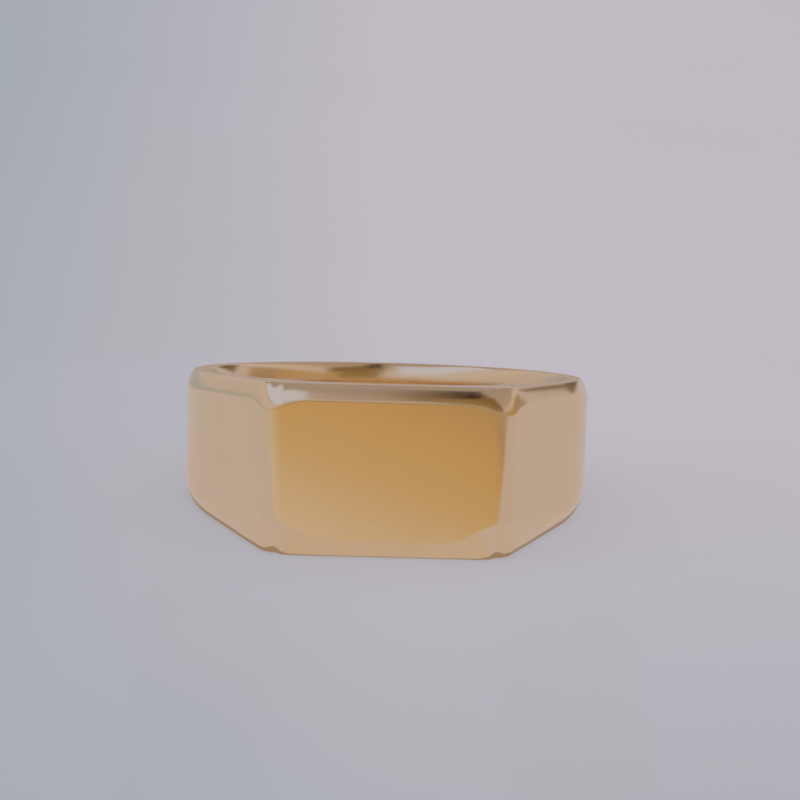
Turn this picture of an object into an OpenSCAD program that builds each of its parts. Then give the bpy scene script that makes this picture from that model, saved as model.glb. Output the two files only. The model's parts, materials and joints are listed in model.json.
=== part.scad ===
// Rectangular signet ring with a hollow head and a solid shank, built from
// sheet and joined with hard solder. The ring lies on its lower edge.
//
// Working frame of the modules: X to the wearer's side, Y from the signet
// face towards the back of the finger, Z along the finger bore. The height of
// the ring tapers evenly from the face to the back, so both edges are planes.

/* [Finger bore] */
// Inside diameter of the ring
bore_d = 19.0; // [17.0:0.25:21.0]
// Bevel that eases the edges of the bore
bore_bevel = 0.25; // [0.15:0.05:0.35]

/* [Shank] */
// Thickness of the solid shank
shank_t = 1.5; // [1.4:0.1:2.0]
// Height of the shank at the back of the finger
back_h = 4.45; // [3.5:0.05:6.0]
// Bevel along the outer edges of the shank and the shoulders, measured down the wall
edge_bevel_drop = 0.7; // [0.3:0.05:0.9]
// The same bevel measured back along the edge
edge_bevel_back = 0.35; // [0.2:0.05:0.4]

/* [Head] */
// Thickness of the head from the bore to the middle of the face
head_t = 2.1; // [1.8:0.1:3.2]
// Width of the signet face, to the lines where face and shoulders would meet
face_w = 12.8; // [11.0:0.1:14.0]
// Height of the head at the signet face
face_h = 9.35; // [8.0:0.05:11.0]
// Radius of the rounded corners between the face and the shoulders
corner_r = 1.4; // [0.6:0.05:1.6]
// Bevel on the face, measured down from the edge
face_bevel_drop = 0.9; // [0.5:0.05:0.95]
// The same bevel measured back along the edge
face_bevel_back = 0.5; // [0.3:0.05:0.6]

/* [Sheet] */
// Thickness of the signet table
table_t = 0.9; // [0.7:0.05:0.9]
// Thickness of the shoulder sheets
shoulder_t = 0.6; // [0.5:0.05:0.6]
// Thickness of the curved lining under the head
lining_t = 0.5; // [0.4:0.05:0.5]
// Thickness of the gallery plates that close the head
gallery_t = 0.5; // [0.4:0.05:0.8]
// Length that the table runs past its rounded corners
table_return = 0.5; // [0.2:0.05:0.6]
// Diameter of the vent through the lining
vent_d = 0.8; // [0.5:0.1:1.2]

/* [Solder] */
// Width of the solder seams
seam = 0.06; // [0.04:0.01:0.08]

/* [Hidden] */
$fn = 96;
bore_r = bore_d / 2;
outer_r = bore_r + shank_t;
face_reach = bore_r + head_t;

// Even taper of the height from the face to the back
taper = atan((face_h - back_h) / 2 / (face_reach + outer_r));
mid_half_h = back_h / 2 + outer_r * tan(taper);

// The shoulders leave the round shank at this angle from the face direction
corner_reach = norm([face_w / 2, face_reach]);
shoulder_a = atan(face_w / 2 / face_reach) + acos(outer_r / corner_reach);
shoulder_len = sqrt(pow(corner_reach, 2) - pow(outer_r, 2));
shoulder_dip = -atan(tan(taper) * sin(shoulder_a));

// Length of a rounded corner along the lines that it joins
corner_run = corner_r * tan(shoulder_a / 2);
table_end = shoulder_len - corner_run - table_return;
seam_a = seam / outer_r * 180 / PI;

// Place of the ring when it lies on its lower edge
front_reach = face_reach * cos(taper) + (face_h / 2 - face_bevel_drop) * sin(taper);
back_reach = outer_r * cos(taper) + (back_h / 2 - edge_bevel_drop) * sin(taper);
rest_y = (front_reach - back_reach) / 2;
rest_z = mid_half_h * cos(taper);

tall = 2 * face_h;
reach = 2 * face_reach;
over = 0.5;

// How far a rounded corner is set off from touching both faces in one line
corner_bite = 0.003;

gold = [0.86, 0.68, 0.42];
gold_inside = [0.80, 0.60, 0.34];
solder_gold = [0.88, 0.76, 0.54];

// Half the height of the ring at a distance y behind the bore axis
function half_h(y) = mid_half_h - y * tan(taper);

// A point on a shoulder, "run" ahead of the shank and "depth" under the surface
function shoulder_point(run, depth) = [
    (outer_r - depth) * sin(shoulder_a) - run * cos(shoulder_a),
    -(outer_r - depth) * cos(shoulder_a) - run * sin(shoulder_a)];

// The corner between the face and a shoulder, "depth" under both surfaces
function corner_point(depth) = [
    face_w / 2 - depth * tan(shoulder_a / 2),
    -face_reach + depth];

function mirrored(points) = [for (i = [len(points) - 1:-1:0]) [-points[i][0], points[i][1]]];

// Lay the finished ring on its lower edge
module lie_down() {
    translate([0, rest_y, rest_z]) rotate([-taper, 0, 0]) children();
}

module mirror_side(side) {
    mirror([side < 0 ? 1 : 0, 0, 0]) children();
}

module both_edges() {
    children();
    mirror([0, 0, 1]) children();
}

module both_sides() {
    children();
    mirror([1, 0, 0]) children();
}

// Everything between the two edge planes, moved in by a depth
module between_edges(depth = 0) {
    front = half_h(-reach) - depth / cos(taper);
    back = half_h(reach) - depth / cos(taper);
    rotate([90, 0, 90])
        translate([0, 0, -reach])
            linear_extrude(2 * reach)
                polygon([[-reach, -front], [reach, -back], [reach, back], [-reach, front]]);
}

// Part of a round wall, centred on the face direction
module wall_sector(r_in, r_out, from_a, to_a) {
    rotate([0, 0, from_a - 90])
        rotate_extrude(angle = to_a - from_a)
            translate([r_in, -tall / 2]) square([r_out - r_in, tall]);
}

// Frame that lies in the upper edge plane, over the bore axis
module on_edge_plane() {
    translate([0, 0, mid_half_h]) rotate([-taper, 0, 0]) children();
}

// Frame at the right shoulder's upper edge: X outward, Y back along the edge
module on_shoulder_edge() {
    start = shoulder_point(0, 0);
    translate([start[0], start[1], half_h(start[1])])
        rotate([0, 0, shoulder_a - 90])
            rotate([shoulder_dip, 0, 0])
                children();
}

// What the edge bevel takes off: the wall's surface at X = r and the edge plane at Y = 0
module edge_waste(r) {
    slope = [edge_bevel_back, -edge_bevel_drop];
    polygon([[r, 0] - [edge_bevel_back, 0] - slope, [r, 0] + [0, -edge_bevel_drop] + slope,
        [r, 0] + [edge_bevel_back, edge_bevel_drop]]);
}

module shoulder_bevel() {
    on_shoulder_edge()
        rotate([90, 0, 0])
            translate([0, 0, -over])
                linear_extrude(shoulder_len + 2 * over)
                    edge_waste(0);
}

module shank_bevel() {
    on_edge_plane() rotate_extrude() edge_waste(outer_r);
}

module bore_edge_bevel() {
    on_edge_plane()
        translate([0, 0, -bore_bevel - over])
            cylinder(h = bore_bevel + 2 * over, r1 = bore_r - over, r2 = bore_r + bore_bevel + over);
}

module face_bevel() {
    top = half_h(-face_reach);
    low = [-face_reach, top - face_bevel_drop];
    high = [-face_reach + face_bevel_back, half_h(-face_reach + face_bevel_back)];
    step = high - low;
    rotate([90, 0, 90])
        translate([0, 0, -face_w])
            linear_extrude(2 * face_w)
                polygon([low - step, [-face_reach - over, top + over], high + step]);
}

// Inside of the head, from the lining to the table and the shoulder sheets
module head_core(clear) {
    right = [
        corner_point(table_t + clear),
        shoulder_point(table_end - clear, table_t + clear),
        shoulder_point(table_end - clear, shoulder_t + clear),
        shoulder_point(clear, shoulder_t + clear),
        shoulder_point(clear, outer_r)];
    difference() {
        translate([0, 0, -tall / 2]) linear_extrude(tall) polygon(concat(right, mirrored(right)));
        translate([0, 0, -tall]) cylinder(h = 2 * tall, r = bore_r + lining_t + clear);
    }
}

// One gallery plate or the solder round it, in the upper edge
module edge_layer() {
    intersection() {
        difference() {
            between_edges();
            between_edges(gallery_t);
            translate([-reach, -reach, -tall]) cube([2 * reach, 2 * reach, tall]);
        }
        children();
    }
}

// What is filed off a sharp corner to leave it round
module corner_waste() {
    middle = [sin(shoulder_a / 2), -cos(shoulder_a / 2)];
    centre = corner_point(corner_r) + corner_bite * middle;
    kite = [centre, centre + 2 * corner_r * [0, -1],
        centre + 2 * corner_r / cos(shoulder_a / 2) * middle,
        centre + 2 * corner_r * [sin(shoulder_a), -cos(shoulder_a)]];
    difference() {
        translate([0, 0, -tall / 2]) linear_extrude(tall) polygon(kite);
        translate([centre[0], centre[1], -tall]) cylinder(h = 2 * tall, r = corner_r);
    }
}

// Sheet along the right shoulder between two distances from the shank
module shoulder_sheet(from, to) {
    translate([0, 0, -tall / 2])
        linear_extrude(tall)
            polygon([shoulder_point(from, 0), shoulder_point(from, shoulder_t),
                shoulder_point(to, shoulder_t), shoulder_point(to, 0)]);
}

module signet_table() {
    right = [
        corner_point(0),
        shoulder_point(table_end, 0),
        shoulder_point(table_end, table_t),
        corner_point(table_t)];
    color(gold) lie_down() difference() {
        intersection() {
            between_edges();
            translate([0, 0, -tall / 2]) linear_extrude(tall) polygon(concat(right, mirrored(right)));
        }
        both_sides() corner_waste();
        both_edges() {
            face_bevel();
            both_sides() shoulder_bevel();
        }
    }
}

module shoulder(side) {
    color(gold) lie_down() mirror_side(side) difference() {
        intersection() {
            between_edges();
            shoulder_sheet(0, table_end - seam);
        }
        both_edges() shoulder_bevel();
    }
}

module shank() {
    color(gold) lie_down() difference() {
        intersection() {
            between_edges();
            wall_sector(bore_r, outer_r, shoulder_a + seam_a, 360 - shoulder_a - seam_a);
        }
        both_edges() {
            shank_bevel();
            bore_edge_bevel();
        }
    }
}

module finger_lining() {
    color(gold_inside) lie_down() difference() {
        intersection() {
            between_edges();
            wall_sector(bore_r, bore_r + lining_t, -shoulder_a, shoulder_a);
        }
        both_edges() bore_edge_bevel();
        translate([0, -bore_r + over, 0])
            rotate([90, 0, 0]) cylinder(h = lining_t + 2 * over, d = vent_d);
    }
}

module gallery_plate(side) {
    color(gold) lie_down() mirror([0, 0, side < 0 ? 1 : 0])
        edge_layer() head_core(seam);
}

module gallery_solder(side) {
    color(solder_gold) lie_down() mirror([0, 0, side < 0 ? 1 : 0])
        edge_layer() difference() {
            head_core(0);
            head_core(seam);
        }
}

module table_solder(side) {
    color(solder_gold) lie_down() mirror_side(side) difference() {
        intersection() {
            between_edges();
            shoulder_sheet(table_end - seam, table_end);
        }
        both_edges() shoulder_bevel();
    }
}

module shank_solder(side) {
    color(solder_gold) lie_down() mirror_side(side) difference() {
        intersection() {
            between_edges();
            wall_sector(bore_r, outer_r, shoulder_a, shoulder_a + seam_a);
        }
        both_edges() {
            shank_bevel();
            bore_edge_bevel();
        }
    }
}

signet_table();
shoulder(-1);  // left_shoulder
shoulder(1);  // right_shoulder
shank();
finger_lining();
gallery_plate(1);  // upper_gallery_plate
gallery_plate(-1);  // lower_gallery_plate
table_solder(-1);  // left_table_solder
table_solder(1);  // right_table_solder
shank_solder(-1);  // left_shank_solder
shank_solder(1);  // right_shank_solder
gallery_solder(1);  // upper_gallery_solder
gallery_solder(-1);  // lower_gallery_solder
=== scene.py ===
"""Looks of the signet ring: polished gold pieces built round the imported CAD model."""

import json
import math

import bmesh
import bpy
from mathutils import Matrix, Vector


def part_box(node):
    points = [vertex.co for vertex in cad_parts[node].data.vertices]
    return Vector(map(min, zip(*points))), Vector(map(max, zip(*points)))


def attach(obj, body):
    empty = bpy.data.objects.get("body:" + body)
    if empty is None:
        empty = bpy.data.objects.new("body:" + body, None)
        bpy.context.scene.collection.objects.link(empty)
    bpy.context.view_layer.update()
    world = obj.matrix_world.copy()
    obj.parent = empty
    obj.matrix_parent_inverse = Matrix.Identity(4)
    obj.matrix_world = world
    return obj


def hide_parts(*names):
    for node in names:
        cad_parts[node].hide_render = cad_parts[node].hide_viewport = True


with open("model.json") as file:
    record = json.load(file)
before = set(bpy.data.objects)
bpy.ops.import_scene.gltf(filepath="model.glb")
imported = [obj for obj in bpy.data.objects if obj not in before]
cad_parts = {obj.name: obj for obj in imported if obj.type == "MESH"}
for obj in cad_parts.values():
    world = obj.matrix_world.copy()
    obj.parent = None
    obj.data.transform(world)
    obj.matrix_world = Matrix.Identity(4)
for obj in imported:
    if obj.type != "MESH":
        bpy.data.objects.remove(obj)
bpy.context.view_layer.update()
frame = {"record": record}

# ---------------------------------------------------------------- ring frame
# The ring's own frame: x across the finger, y from the face to the back, z along the bore.

MOUNTS = {m["name"]: m for m in frame["record"]["mounts"]}
BORE = Vector(MOUNTS["finger_bore"]["pos_m"])
ALONG = Vector(MOUNTS["finger_bore"]["axis"]).normalized()
ACROSS = Vector((1, 0, 0))
BACKWARD = ALONG.cross(ACROSS)
FACE = Vector(MOUNTS["signet_face"]["pos_m"])

MM = 0.001
BORE_R = MOUNTS["finger_bore"]["dims"]["r_mm"] * MM
OUTER_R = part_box("shank")[1].x
FACE_REACH = -(FACE - BORE).dot(BACKWARD)
TAPER = math.atan2(ALONG.y, ALONG.z)
MID_HALF_H = BORE.z / math.cos(TAPER)

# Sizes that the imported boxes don't give, as in the CAD source
FACE_W = 12.8 * MM
CORNER_R = 1.4 * MM
TABLE_T = 0.9 * MM
SHOULDER_T = 0.6 * MM
LINING_T = 0.5 * MM
GALLERY_T = 0.5 * MM
TABLE_RETURN = 0.5 * MM
SEAM = 0.06 * MM
VENT_R = 0.4 * MM

# Eased edges: how far each runs down the wall, and how far back along the rim. At the corners of the
# face they are broader, by extras that fade out over the third and the fourth length. The extra along
# the rim fades out before the shoulder, which is thinner than the table.
FACE_EDGE = (0.95 * MM, 0.52 * MM)
OUTER_EDGE = (0.95 * MM, 0.42 * MM)
BORE_EDGE = (1.10 * MM, 0.28 * MM)
UPPER_CORNER = (0.50 * MM, 0.30 * MM, 2.1 * MM, 1.35 * MM)
LOWER_CORNER = (1.20 * MM, 0.34 * MM, 3.4 * MM, 1.35 * MM)

# Lengths along the outline of the ring, from the middle of the face
CORNER_REACH = math.hypot(FACE_W / 2, FACE_REACH)
SHOULDER_A = math.atan2(FACE_W / 2, FACE_REACH) + math.acos(OUTER_R / CORNER_REACH)
SHOULDER_LEN = math.sqrt(CORNER_REACH**2 - OUTER_R**2)
CORNER_RUN = CORNER_R * math.tan(SHOULDER_A / 2)
FLAT_END = FACE_W / 2 - CORNER_RUN
CORNER_END = FLAT_END + CORNER_R * SHOULDER_A
TABLE_END = CORNER_END + TABLE_RETURN
SHOULDER_END = CORNER_END + SHOULDER_LEN - CORNER_RUN
BACK = SHOULDER_END + OUTER_R * (math.pi - SHOULDER_A)


def place(x, y, z):
    """A point of the ring frame in the row frame."""
    return BORE + x * ACROSS + y * BACKWARD + z * ALONG


def half_h(y):
    """Half the ring's height at a distance y behind the bore axis."""
    return MID_HALF_H - y * math.tan(TAPER)


def outline(s):
    """Point and outward normal on the outside of the ring, a length s round from the face's middle."""
    side = -1 if s < 0 else 1
    s = abs(s)
    if s <= FLAT_END:
        x, y, turn = s, -FACE_REACH, 0.0
    elif s <= CORNER_END:
        turn = (s - FLAT_END) / CORNER_R
        x = FLAT_END + CORNER_R * math.sin(turn)
        y = -FACE_REACH + CORNER_R * (1 - math.cos(turn))
    else:
        turn = SHOULDER_A + max(0.0, s - SHOULDER_END) / OUTER_R
        ahead = max(0.0, SHOULDER_END - s)
        x = OUTER_R * math.sin(turn) - ahead * math.cos(SHOULDER_A)
        y = -OUTER_R * math.cos(turn) - ahead * math.sin(SHOULDER_A)
    return side * x, y, side * math.sin(turn), -math.cos(turn)


def lining_outline(s):
    """The same on the outside of the lining, which is round."""
    turn = s / (BORE_R + LINING_T)
    r = BORE_R + LINING_T
    return r * math.sin(turn), -r * math.cos(turn), math.sin(turn), -math.cos(turn)


def stops(start, end, step):
    """Evenly spaced lengths from start to end, with a stop at each change of the outline."""
    marks = [m for e in (FLAT_END, CORNER_END, SHOULDER_END) for m in (-e, e) if start < m < end]
    marks = [start] + sorted(marks) + [end]
    found = []
    for a, b in zip(marks, marks[1:]):
        middle = (a + b) / 2
        fine = step / 4 if FLAT_END < abs(middle) < CORNER_END else step
        count = max(1, math.ceil((b - a) / fine))
        found += [a + (b - a) * i / count for i in range(count)]
    return found + [end]


def smoothstep(t):
    t = min(1.0, max(0.0, t))
    return t * t * (3 - 2 * t)


def outer_edge(s, corner=UPPER_CORNER):
    """Size of the eased edge at a length s: broadest at the corners of the face."""
    s = abs(s)
    blend = smoothstep((s - FLAT_END) / (TABLE_END - FLAT_END))
    away = abs(s - (FLAT_END + CORNER_END) / 2)
    return tuple(
        face + (side - face) * blend + extra * (0.5 + 0.5 * math.cos(math.pi * min(1.0, away / spread)))
        for face, side, extra, spread in zip(FACE_EDGE, OUTER_EDGE, corner[:2], corner[2:])
    )


# ---------------------------------------------------------------- mesh tools

EDGE_STEPS = 14
EDGE_CREST = 1.5
RIM_SUPPORT = 0.02 * MM
WALL_ROWS = (0.99, 0.75, 0.5, 0.25, 0.0, -0.25, -0.5, -0.75, -0.99)
SHARP = math.radians(35)


def eased(size):
    """Points (depth, drop) of an eased edge, from the wall to the rim. With no size it is a sharp corner."""
    if not size:
        return [(0.0, 0.0)]
    drop, back = size
    turns = [math.pi / 2 * i / EDGE_STEPS for i in range(EDGE_STEPS + 1)]
    return [
        (back * (1 - max(0.0, math.cos(t)) ** EDGE_CREST), drop * (1 - math.sin(t) ** EDGE_CREST))
        for t in turns
    ]


def rim(path_point, thick, outer, inner):
    """Points from the outside to the inside of a wall, over its rim at a height of half_h."""
    x, y, nx, ny = path_point
    profile = eased(outer)
    far = [(thick - depth, drop) for depth, drop in reversed(eased(inner))]
    start, stop = profile[-1][0], far[0][0]
    profile += [(start + RIM_SUPPORT, 0.0), ((start + stop) / 2, 0.0), (stop - RIM_SUPPORT, 0.0)] + far
    points = []
    for depth, drop in profile:
        py = y - ny * depth
        points.append((x - nx * depth, py, half_h(py) - drop))
    return points


def between(a, b, rows):
    """Points between two points of a wall's surface, at heights from 1 at a to -1 at b."""
    return [tuple((p + q) / 2 + (p - q) / 2 * k for p, q in zip(a, b)) for k in rows]


def section(path, s, thick, outer, inner, rows=WALL_ROWS, outer_low=None):
    """Closed section across a wall: over the upper rim, down inside, under the lower rim, up outside."""
    upper = rim(path(s), thick, outer, inner)
    lower = [(x, y, -z) for x, y, z in rim(path(s), thick, outer_low or outer, inner)]
    inside = between(upper[-1], lower[-1], rows)
    outside = between(lower[0], upper[0], rows)
    return [place(*p) for p in upper + inside + lower[::-1] + outside]


def loft(bm, rings, closed=False):
    """Skin the rings of points with quads. An open loft gets a face on each end."""
    grid = [[bm.verts.new(p) for p in ring] for ring in rings]
    count = len(grid[0])
    pairs = list(zip(grid, grid[1:])) + ([(grid[-1], grid[0])] if closed else [])
    for a, b in pairs:
        for i in range(count):
            j = (i + 1) % count
            bm.faces.new((a[i], a[j], b[j], b[i]))
    if not closed:
        bm.faces.new(grid[0])
        bm.faces.new(list(reversed(grid[-1])))
    return grid


def finish_piece(name, bm, material):
    """Turn a bmesh into the piece that rides on the ring and stands for the CAD node of its name."""
    bmesh.ops.recalc_face_normals(bm, faces=bm.faces)
    for face in bm.faces:
        face.smooth = True
    for edge in bm.edges:
        edge.smooth = len(edge.link_faces) == 2 and edge.calc_face_angle(0.0) < SHARP
    mesh = bpy.data.meshes.new(name + "_look")
    bm.to_mesh(mesh)
    bm.free()
    mesh.materials.append(material)
    piece = bpy.data.objects.new(name + "_look", mesh)
    bpy.context.scene.collection.objects.link(piece)
    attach(piece, "root")
    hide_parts(name)
    return piece


def wall_piece(name, start, end, thick, inner, material, step=0.25 * MM):
    """A length of the ring's wall."""
    bm = bmesh.new()
    rings = []
    for s in stops(start, end, step):
        low = outer_edge(s, LOWER_CORNER)
        rings.append(section(outline, s, thick, outer_edge(s), inner, outer_low=low))
    loft(bm, rings)
    return finish_piece(name, bm, material)


# ---------------------------------------------------------------- lining and its vent

VENT_CELL = 0.225 * MM
VENT_CELLS = 4
VENT_EASE = 0.06 * MM
VENT_EASE_STEPS = 4
LINING_ROWS = (0.99, 0.8, 0.6, 0.4, 0.2, 0.15, 0.1, 0.05, 0.0)
LINING_ROWS += tuple(-k for k in reversed(LINING_ROWS[:-1]))


def vent_patch(bm, grid, row, radius, ring_radii):
    """Cut a round hole in the middle of a face of the lining, and return the hole's vertices."""
    middle = len(grid) // 2
    low, high = middle - VENT_CELLS, middle + VENT_CELLS
    first, last = row - VENT_CELLS, row + VENT_CELLS
    border = [(i, first) for i in range(low, high)] + [(high, j) for j in range(first, last)]
    border += [(i, last) for i in range(high, low, -1)] + [(low, j) for j in range(last, first, -1)]
    bmesh.ops.delete(
        bm,
        geom=[grid[i][j] for i in range(low + 1, high) for j in range(first + 1, last)],
        context="VERTS",
    )
    around = [grid[i][j] for i, j in border]
    for ring_r in ring_radii:
        ring = []
        for vert in (grid[i][j] for i, j in border):
            offset = vert.co - BORE
            turn = math.atan2(offset.dot(ALONG), offset.x)
            x, z = ring_r * math.cos(turn), ring_r * math.sin(turn)
            ring.append(bm.verts.new(place(x, -math.sqrt(radius**2 - x**2), z)))
        bridge(bm, around, ring)
        around = ring
    return around


def bridge(bm, a, b):
    for i in range(len(a)):
        j = (i + 1) % len(a)
        bm.faces.new((a[i], a[j], b[j], b[i]))


def lining_piece(name, material):
    """The curved lining under the head, with the vent through its middle."""
    end = (BORE_R + LINING_T) * SHOULDER_A
    count = math.ceil((end - VENT_CELLS * VENT_CELL) / VENT_CELL)
    right = [VENT_CELL * i for i in range(VENT_CELLS + 1)]
    right += [right[-1] + (end - right[-1]) * i / count for i in range(1, count + 1)]
    at = [-s for s in reversed(right[1:])] + right
    bm = bmesh.new()
    rings = [section(lining_outline, s, LINING_T, None, BORE_EDGE, LINING_ROWS) for s in at]
    grid = loft(bm, rings)
    upper = (len(rings[0]) - 2 * len(LINING_ROWS)) // 2
    middle_row = len(LINING_ROWS) // 2
    inner_row = upper + middle_row
    outer_row = 2 * upper + len(LINING_ROWS) + middle_row
    radii = [VENT_R + k * VENT_EASE for k in (4, 2, 1)]
    inner = vent_patch(bm, grid, inner_row, BORE_R, radii)
    outer = vent_patch(bm, grid, outer_row, BORE_R + LINING_T, [VENT_R * 1.5, VENT_R])
    around = inner
    for i in range(1, VENT_EASE_STEPS + 1):
        turn = math.pi / 2 * i / VENT_EASE_STEPS
        ring = []
        for vert in inner:
            offset = vert.co - BORE
            a = math.atan2(offset.dot(ALONG), offset.x)
            r = VENT_R + VENT_EASE * (1 - math.sin(turn))
            x, z = r * math.cos(a), r * math.sin(a)
            depth = VENT_EASE * (1 - math.cos(turn))
            ring.append(bm.verts.new(place(x, -math.sqrt(BORE_R**2 - x**2) - depth, z)))
        bridge(bm, around, ring)
        around = ring
    outer = align(around, outer)
    bridge(bm, around, outer)
    return finish_piece(name, bm, material)


def align(a, b):
    """Put the loop b in the order of loop a, nearest vertices together."""
    start = min(range(len(b)), key=lambda i: (b[i].co - a[0].co).length)
    forward = [b[(start + i) % len(b)] for i in range(len(b))]
    backward = [b[(start - i) % len(b)] for i in range(len(b))]
    return min((forward, backward), key=lambda loop: (loop[1].co - a[1].co).length)


# ---------------------------------------------------------------- gallery plates

def head_loop(clear):
    """Outer and inner points of the opening in the head, "clear" of its walls, from left to right."""
    r = BORE_R + LINING_T + clear
    spans = [
        (0.0, FLAT_END, TABLE_T, 24),
        (FLAT_END, CORNER_END, TABLE_T, 6),
        (CORNER_END, TABLE_END + clear, TABLE_T, 2),
        (TABLE_END + clear, SHOULDER_END - clear, SHOULDER_T, 30),
    ]
    right = []
    for start, end, thick, count in spans:
        for i in range(count + 1):
            x, y, nx, ny = outline(start + (end - start) * i / count)
            right.append((x - nx * (thick + clear), y - ny * (thick + clear)))
    kept = [right[0]] + [b for a, b in zip(right, right[1:]) if math.dist(a, b) > 1e-9]
    turns = [math.atan2(x, -y) for x, y in kept]
    turns[-1] = SHOULDER_A - math.asin(clear / r)
    inner = [(r * math.sin(t), -r * math.cos(t)) for t in turns]
    outer = [(-x, y) for x, y in reversed(kept[1:])] + kept
    inner = [(-x, y) for x, y in reversed(inner[1:])] + inner
    return outer, inner


def layer(points, side):
    """The points of a section, at the top and at the underside of a gallery plate."""
    sink = GALLERY_T / math.cos(TAPER)
    top = [place(x, y, side * half_h(y)) for x, y in points]
    under = [place(x, y, side * (half_h(y) - sink)) for x, y in reversed(points)]
    return top + under


def gallery_piece(name, side, material):
    bm = bmesh.new()
    loft(bm, [layer(pair, side) for pair in zip(*head_loop(SEAM))])
    return finish_piece(name, bm, material)


def gallery_solder_piece(name, side, material):
    bm = bmesh.new()
    wide, tight = (outer + inner[::-1] for outer, inner in (head_loop(0.0), head_loop(SEAM)))
    loft(bm, [layer(pair, side) for pair in zip(wide, tight)], closed=True)
    return finish_piece(name, bm, material)


# ---------------------------------------------------------------- materials

def node(tree, kind, **values):
    """A shader node with its settings, and its inputs where the name is that of an input."""
    made = tree.nodes.new(kind)
    for key, value in values.items():
        if key in made.inputs:
            made.inputs[key].default_value = value
        else:
            setattr(made, key, value)
    return made


def millimetres(tree):
    """Object coordinates in millimetres."""
    coords = node(tree, "ShaderNodeTexCoord")
    scaled = node(tree, "ShaderNodeVectorMath", operation="SCALE", Scale=1000.0)
    tree.links.new(coords.outputs["Object"], scaled.inputs[0])
    return scaled.outputs[0]


def turned(tree, vector, angles, stretch):
    """Coordinates turned and then stretched, so that a noise on them runs out in lines."""
    turn = node(tree, "ShaderNodeMapping", Rotation=angles)
    squash = node(tree, "ShaderNodeMapping", Scale=stretch)
    tree.links.new(vector, turn.inputs["Vector"])
    tree.links.new(turn.outputs[0], squash.inputs["Vector"])
    return squash.outputs[0]


def noise(tree, vector, scale, detail=2.0, roughness=0.5):
    made = node(tree, "ShaderNodeTexNoise", Scale=scale, Detail=detail, Roughness=roughness)
    tree.links.new(vector, made.inputs["Vector"])
    return made.outputs["Fac"]


def ranged(tree, value, low, high, to_low=0.0, to_high=1.0):
    """Map a value from one range to another, and hold it there."""
    made = node(tree, "ShaderNodeMapRange", clamp=True)
    for socket, number in zip(list(made.inputs)[1:5], (low, high, to_low, to_high)):
        socket.default_value = number
    tree.links.new(value, made.inputs[0])
    return made.outputs[0]


def combine(tree, operation, a, b):
    made = node(tree, "ShaderNodeMath", operation=operation)
    for socket, value in zip(made.inputs, (a, b)):
        if isinstance(value, float):
            socket.default_value = value
        else:
            tree.links.new(value, socket)
    return made.outputs[0]


SCRATCH_TURNS = ((0.3, 0.9, 0.2), (1.4, 0.2, 1.1), (0.8, 2.1, 0.6), (2.3, 1.3, 2.7))
SCRATCH_STRETCH = (0.22, 9.0, 0.9)


def gold_material(name, colour, tone, roughness, wear):
    """Polished gold. tone is the second colour of its faint cloudiness, and wear scales its marks."""
    material = bpy.data.materials.new(name)
    material.use_nodes = True
    tree = material.node_tree
    shader = tree.nodes["Principled BSDF"]
    shader.inputs["Metallic"].default_value = 1.0
    where = millimetres(tree)

    cloud = ranged(tree, noise(tree, where, 0.35, 4.0, 0.6), 0.38, 0.66)
    mix = node(tree, "ShaderNodeMix", data_type="RGBA")
    mix.inputs[6].default_value = (*colour, 1.0)
    mix.inputs[7].default_value = (*tone, 1.0)
    tree.links.new(cloud, mix.inputs[0])
    tree.links.new(mix.outputs[2], shader.inputs["Base Color"])

    marks = None
    for turn in SCRATCH_TURNS:
        lines = noise(tree, turned(tree, where, turn, SCRATCH_STRETCH), 1.6, 1.0)
        lines = ranged(tree, lines, 0.66, 0.74)
        marks = lines if marks is None else combine(tree, "MAXIMUM", marks, lines)

    smudge = ranged(tree, noise(tree, where, 0.55, 5.0, 0.55), 0.42, 0.70, 0.0, 0.05 * wear)
    grain = ranged(tree, noise(tree, where, 14.0, 3.0, 0.6), 0.35, 0.70, 0.0, 0.03 * wear)
    rough = combine(tree, "ADD", smudge, grain)
    rough = combine(tree, "ADD", rough, ranged(tree, marks, 0.0, 1.0, 0.0, 0.10 * wear))
    rough = combine(tree, "ADD", rough, roughness)
    tree.links.new(rough, shader.inputs["Roughness"])

    swell = node(tree, "ShaderNodeBump", Strength=1.0, Distance=2.5e-6)
    tree.links.new(noise(tree, where, 0.45, 2.0), swell.inputs["Height"])
    cuts = node(tree, "ShaderNodeBump", Strength=1.0, Distance=0.9e-6 * wear, invert=True)
    tree.links.new(marks, cuts.inputs["Height"])
    tree.links.new(swell.outputs[0], cuts.inputs["Normal"])
    tree.links.new(cuts.outputs[0], shader.inputs["Normal"])
    return material


FLOOR_GLOW = 1.4


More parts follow.
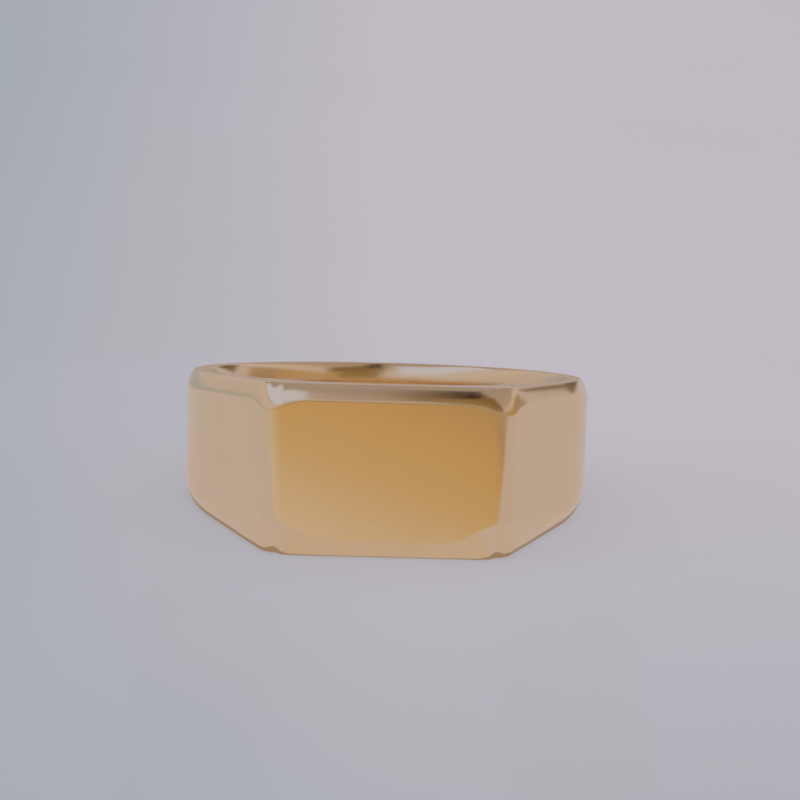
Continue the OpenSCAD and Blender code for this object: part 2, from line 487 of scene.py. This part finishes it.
def floor_material():
    """Pale matt card, lit through from below. Painted shade darkens it a little to the left and to the
    front, where the light falls off.
    """
    material = bpy.data.materials.new("pale_card")
    material.use_nodes = True
    tree = material.node_tree
    shader = tree.nodes["Principled BSDF"]
    shader.inputs["Roughness"].default_value = 0.75
    shader.inputs["Specular IOR Level"].default_value = 0.25
    where = millimetres(tree)
    parts = node(tree, "ShaderNodeSeparateXYZ")
    tree.links.new(where, parts.inputs[0])
    # Painted shade: these two ramps darken the floor towards the left and the front, where the pool of light
    # falls off; the noise only varies its tone at random.
    across = ranged(tree, parts.outputs["X"], -30.0, 0.0)
    along = ranged(tree, parts.outputs["Y"], -85.0, 15.0)
    tone = combine(tree, "MULTIPLY", across, along)
    tone = combine(tree, "ADD", tone, ranged(tree, noise(tree, where, 0.02, 3.0), 0.3, 0.7, -0.06, 0.06))
    mix = node(tree, "ShaderNodeMix", data_type="RGBA")
    # The first colour is the painted shade at the left and the front, the second the floor in full light.
    mix.inputs[6].default_value = (0.175, 0.195, 0.212, 1.0)
    mix.inputs[7].default_value = (0.252, 0.240, 0.263, 1.0)
    tree.links.new(tone, mix.inputs[0])
    tree.links.new(mix.outputs[2], shader.inputs["Base Color"])
    tree.links.new(mix.outputs[2], shader.inputs["Emission Color"])
    shader.inputs["Emission Strength"].default_value = FLOOR_GLOW
    return material


GOLD = gold_material("polished_gold", (0.96, 0.75, 0.48), (0.95, 0.735, 0.455), 0.15, 0.5)
INNER = gold_material("inner_gold", (0.96, 0.745, 0.47), (0.95, 0.73, 0.445), 0.16, 1.3)
SOLDER = gold_material("gold_solder", (0.96, 0.76, 0.50), (0.95, 0.745, 0.475), 0.16, 1.0)

# ---------------------------------------------------------------- the ring's pieces

wall_piece("signet_table", -TABLE_END, TABLE_END, TABLE_T, None, GOLD)
for side, word in ((-1, "left"), (1, "right")):
    spans = (
        ("_table_solder", TABLE_END, TABLE_END + SEAM, SHOULDER_T, None, SOLDER, "gold_solder"),
        ("_shoulder", TABLE_END + SEAM, SHOULDER_END, SHOULDER_T, None, GOLD, "polished_gold"),
        ("_shank_solder", SHOULDER_END, SHOULDER_END + SEAM, OUTER_R - BORE_R, BORE_EDGE, SOLDER,
         "gold_solder"),
    )
    for tail, start, end, thick, inner, material, slot in spans:
        start, end = sorted((side * start, side * end))
        wall_piece(word + tail, start, end, thick, inner, material)
wall_piece("shank", SHOULDER_END + SEAM, 2 * BACK - SHOULDER_END - SEAM, OUTER_R - BORE_R, BORE_EDGE,
           GOLD)
lining_piece("finger_lining", INNER)
for side, word in ((1, "upper"), (-1, "lower")):
    gallery_piece(word + "_gallery_plate", side, GOLD)
    gallery_solder_piece(word + "_gallery_solder", side, SOLDER)

# ---------------------------------------------------------------- floor, light and camera

FLOOR_HALF = 1.5
FLOOR_Z = -0.00001


def floor_piece():
    """The pale surface under the ring, just below its lowest point."""
    bm = bmesh.new()
    bmesh.ops.create_grid(bm, x_segments=8, y_segments=8, size=FLOOR_HALF)
    for vert in bm.verts:
        vert.co.z = FLOOR_Z
    mesh = bpy.data.meshes.new("floor")
    bm.to_mesh(mesh)
    bm.free()
    mesh.materials.append(floor_material())
    piece = bpy.data.objects.new("floor", mesh)
    bpy.context.scene.collection.objects.link(piece)


def aimed(place_at, aim):
    return (Vector(aim) - Vector(place_at)).to_track_quat("-Z", "Y").to_euler()


LOW_CARD_Z = 0.00006
ROSY_RING_Z = 0.75 * LOW_CARD_Z
# Height of the dark strip of painted contact shade round the ring's foot.
CONTACT_SHADE_Z = 0.5 * LOW_CARD_Z
RING_CARD_STEPS = 90
# Inner and outer edges of that strip of painted contact shade; the rosy strip starts at its outer edge.
CONTACT_SHADE_IN, CONTACT_SHADE_OUT = -0.6 * MM, 0.05 * MM
ROSY_OUT = 8.0 * MM


def soft_light(name, place_at, aim, size, watts, colour):
    """A rectangular soft box that lights the matt floor and shows in no reflection."""
    light = bpy.data.lights.new(name, "AREA")
    light.shape = "RECTANGLE"
    light.size, light.size_y = size
    light.energy = watts
    light.color = colour
    made = bpy.data.objects.new(name, light)
    made.location = place_at
    made.rotation_euler = aimed(place_at, aim)
    made.visible_camera = False
    made.visible_glossy = False
    bpy.context.scene.collection.objects.link(made)


def toned(tree, value, tones):
    """Colour ramp over a value. tones are pairs of a value and a colour, from low to high."""
    low, high = tones[0][0], tones[-1][0]
    ramp = node(tree, "ShaderNodeValToRGB")
    for at, _ in tones[1:-1]:
        ramp.color_ramp.elements.new((at - low) / (high - low))
    for element, (at, colour) in zip(ramp.color_ramp.elements, tones):
        element.position = (at - low) / (high - low)
        element.color = (*colour, 1.0)
    tree.links.new(ranged(tree, value, low, high), ramp.inputs[0])
    return ramp.outputs[0]


def card(name, corners, tones, lean=0.0):
    """A card that shows only in reflections. Its tones run over the height in mm, plus lean times x."""
    mesh = bpy.data.meshes.new(name)
    mesh.from_pydata(corners, [], [tuple(range(len(corners)))])
    material = bpy.data.materials.new(name)
    material.use_nodes = True
    tree = material.node_tree
    tree.nodes.clear()
    parts = node(tree, "ShaderNodeSeparateXYZ")
    glow = node(tree, "ShaderNodeEmission")
    out = node(tree, "ShaderNodeOutputMaterial")
    tree.links.new(millimetres(tree), parts.inputs[0])
    height = combine(tree, "ADD", parts.outputs["Z"], combine(tree, "MULTIPLY", parts.outputs["X"], lean))
    tree.links.new(toned(tree, height, tones), glow.inputs["Color"])
    tree.links.new(glow.outputs[0], out.inputs["Surface"])
    mesh.materials.append(material)
    made = bpy.data.objects.new(name, mesh)
    bpy.context.scene.collection.objects.link(made)
    made.visible_camera = False
    made.visible_diffuse = False
    made.visible_shadow = False


def plain(*colour):
    """The tones of a card of one colour, at whatever height."""
    return (0.0, colour), (1.0, colour)


def low_card(name, left, right, front, back, colour):
    """A card that lies just over the floor and shows only in reflections."""
    corners = [(left, front, LOW_CARD_Z), (right, front, LOW_CARD_Z),
               (right, back, LOW_CARD_Z), (left, back, LOW_CARD_Z)]
    card(name, corners, plain(*colour))


def ring_card(name, side, start, near_by, far_by, height, colour):
    """A card that follows one side of the ring over the floor, and shows only in reflections."""
    near, far = [], []
    for i in range(RING_CARD_STEPS + 1):
        s = start + (BACK - start) * i / RING_CARD_STEPS
        x, y, nx, ny = outline(side * s)
        for points, by in ((near, near_by), (far, far_by)):
            points.append(BORE + (x + nx * by) * ACROSS + (y + ny * by) * BACKWARD)
    card(name, [(p.x, p.y, height) for p in near + far[::-1]], plain(*colour))


def studio_dome():
    """Soft surrounding light, as bright as the floor at the horizon and dimmer overhead."""
    world = bpy.data.worlds.new("studio")
    world.use_nodes = True
    tree = world.node_tree
    back = tree.nodes["Background"]
    coords = node(tree, "ShaderNodeTexCoord")
    parts = node(tree, "ShaderNodeSeparateXYZ")
    tree.links.new(coords.outputs["Generated"], parts.inputs[0])
    tones = ((0.0, (0.50, 0.46, 0.50)), (0.18, (0.50, 0.46, 0.50)), (0.30, (0.54, 0.505, 0.55)),
             (0.42, (0.52, 0.48, 0.52)), (0.54, (0.41, 0.345, 0.32)), (0.85, (0.345, 0.30, 0.32)),
             (1.0, (0.36, 0.33, 0.36)))
    tree.links.new(toned(tree, parts.outputs["Z"], tones), back.inputs["Color"])
    bpy.context.scene.world = world


# The upright cards in front of the ring stand in this plane, except the nearest, warm_front
CARD_Y = -0.033
PALE = plain(0.53, 0.60, 0.90)
ORANGE = plain(0.43, 0.30, 0.17)

floor_piece()
studio_dome()
soft_light("fill_top", (0.02, 0.06, 0.50), (0, 0, 0), (0.70, 0.70), 0.8, (1.0, 0.99, 1.0))
soft_light("key_left", (-0.34, -0.04, 0.36), (0, 0, 0), (0.40, 0.40), 0.22, (1.0, 0.98, 1.0))
card("warm_front",
     [(-0.0075, -0.020, 0.0), (0.0075, -0.020, 0.0), (0.034, -0.020, 0.010), (0.034, -0.020, 0.0125),
      (-0.034, -0.020, 0.0125), (-0.034, -0.020, 0.010)],
     ((-1.5, (0.58, 0.50, 0.47)), (0.9, (0.55, 0.450, 0.350)), (1.6, (0.537, 0.431, 0.313)),
      (3.7, (0.518, 0.389, 0.228)), (6.5, (0.512, 0.358, 0.190)), (8.6, (0.47, 0.32, 0.16)),
      (10.0, (0.38, 0.27, 0.17)), (12.5, (0.39, 0.32, 0.27))), lean=0.36)
card("pale_left", [(-0.0054, CARD_Y, 0.020), (-0.030, CARD_Y, 0.024), (-0.030, CARD_Y, 0.047),
                   (-0.0054, CARD_Y, 0.041)], PALE)
card("pale_far_left", [(-0.030, CARD_Y, 0.024), (-0.045, 0.005, 0.030), (-0.045, 0.005, 0.056),
                       (-0.030, CARD_Y, 0.047)], PALE)
card("dusk_right", [(0.0012, CARD_Y, 0.024), (0.0038, CARD_Y, 0.022), (0.0038, CARD_Y, 0.070),
                    (0.0012, CARD_Y, 0.044)], plain(0.22, 0.16, 0.11))
card("dark_right", [(0.0038, CARD_Y, 0.031), (0.010, CARD_Y, 0.031), (0.010, CARD_Y, 0.075),
                    (0.0038, CARD_Y, 0.085)], plain(0.02, 0.008, 0.005))
card("brown_low", [(0.0038, CARD_Y, 0.010), (0.026, CARD_Y, 0.010), (0.026, CARD_Y, 0.024),
                   (0.010, CARD_Y, 0.024), (0.010, CARD_Y, 0.031), (0.0038, CARD_Y, 0.031)],
     plain(0.26, 0.17, 0.07))
card("brown_high", [(0.010, CARD_Y, 0.024), (0.038, CARD_Y, 0.025), (0.038, CARD_Y, 0.036),
                    (0.016, CARD_Y, 0.036), (0.010, CARD_Y, 0.050)], plain(0.20, 0.125, 0.06))
card("orange_front", [(0.026, CARD_Y, 0.004), (0.045, CARD_Y, 0.004), (0.045, CARD_Y, 0.024),
                      (0.026, CARD_Y, 0.024)], ORANGE)
card("orange_right", [(0.045, CARD_Y, 0.004), (0.062, 0.0, 0.004), (0.062, 0.0, 0.026),
                      (0.045, CARD_Y, 0.026)], ORANGE)
card("orange_far_right", [(0.062, 0.0, 0.004), (0.062, 0.030, 0.004), (0.062, 0.030, 0.022),
                          (0.062, 0.0, 0.026)], plain(0.36, 0.27, 0.20))
card("brown_behind", [(0.078, 0.066, 0.006), (0.035, 0.092, 0.006), (0.035, 0.092, 0.030),
                      (0.078, 0.066, 0.030)], plain(0.16, 0.11, 0.07))
low_card("dim_behind", -0.018, 0.018, 0.028, 0.090, (0.40, 0.325, 0.29))
low_card("rosy_left", -0.090, -0.0125, -0.060, 0.026, (0.515, 0.485, 0.535))
low_card("rosy_right", 0.0125, 0.090, -0.060, 0.026, (0.515, 0.47, 0.50))
low_card("warm_low", -FLAT_END, FLAT_END, -0.060, -0.0112, (0.54, 0.475, 0.46))
# Painted shade: a dark strip along the foot of each side stands in for the contact shadow where the ring
# meets the floor, seen only in reflections.
for side, word in ((-1, "left"), (1, "right")):
    ring_card("contact_shade_" + word, side, 0.0, CONTACT_SHADE_IN, CONTACT_SHADE_OUT, CONTACT_SHADE_Z, (0.33, 0.27, 0.24))
    ring_card("rosy_ring_" + word, side, FLAT_END, CONTACT_SHADE_OUT, ROSY_OUT, ROSY_RING_Z,
              (0.53, 0.487, 0.53))

CAMERA_FAR = 0.250
CAMERA_UP = math.radians(16.0)
CAMERA_LEFT = math.radians(0.8)
CAMERA_ROLL = math.radians(1.73)
VIEW_WIDTH = 0.0441
AIM_RIGHT, AIM_UP = 0.00077, 0.001897
SENSOR_MM = 36.0

towards = Vector((-math.sin(CAMERA_LEFT) * math.cos(CAMERA_UP),
                  -math.cos(CAMERA_LEFT) * math.cos(CAMERA_UP), math.sin(CAMERA_UP)))
right = Vector((0, 0, 1)).cross(towards).normalized()
up = towards.cross(right)
right, up = (right * math.cos(CAMERA_ROLL) + up * math.sin(CAMERA_ROLL),
             up * math.cos(CAMERA_ROLL) - right * math.sin(CAMERA_ROLL))
camera = bpy.data.objects.new("camera", bpy.data.cameras.new("camera"))
camera.data.sensor_width = SENSOR_MM
camera.data.lens = SENSOR_MM * CAMERA_FAR / VIEW_WIDTH
camera.data.clip_start = 0.01
camera.matrix_world = Matrix.Translation(
    BORE + towards * CAMERA_FAR + right * AIM_RIGHT + up * AIM_UP
) @ Matrix((right, up, towards)).transposed().to_4x4()
bpy.context.scene.collection.objects.link(camera)
bpy.context.scene.camera = camera
bpy.context.scene.view_settings.view_transform = "Standard"

bpy.context.view_layer.update()
